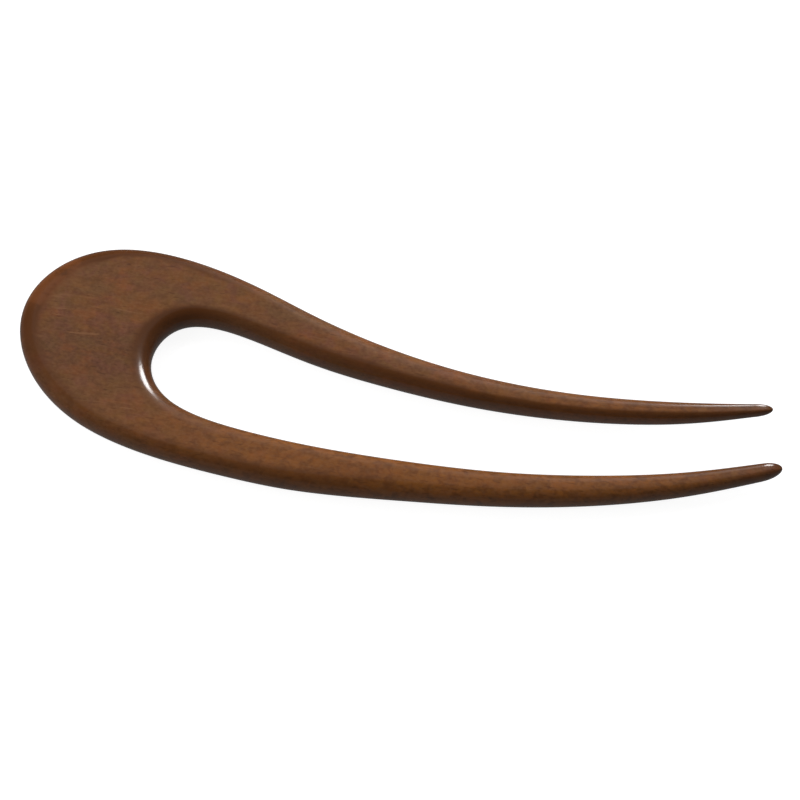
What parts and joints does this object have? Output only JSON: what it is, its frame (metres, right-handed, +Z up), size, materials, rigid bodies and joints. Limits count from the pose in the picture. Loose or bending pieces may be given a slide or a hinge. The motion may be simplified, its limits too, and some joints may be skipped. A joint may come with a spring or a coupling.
{
  "type": "u-shaped hairpin",
  "caption": "One-piece wooden hair fork: a broad rounded head that splits into two long tapering prongs, pushed into a bun to hold it.",
  "frame": {"origin": "under the middle of the bounding box, on the surface that the fork lies on", "axes": "+X from the head to the prong tips, +Y across the fork, +Z up from its back face"},
  "size_m": [0.1526, 0.0462, 0.0064],
  "materials": {
    "wood": "satin lacquer over fine-pored brown hardwood"
  },
  "bodies": {
    "root": {"hair_fork": "wood"}
  },
  "joints": []
}
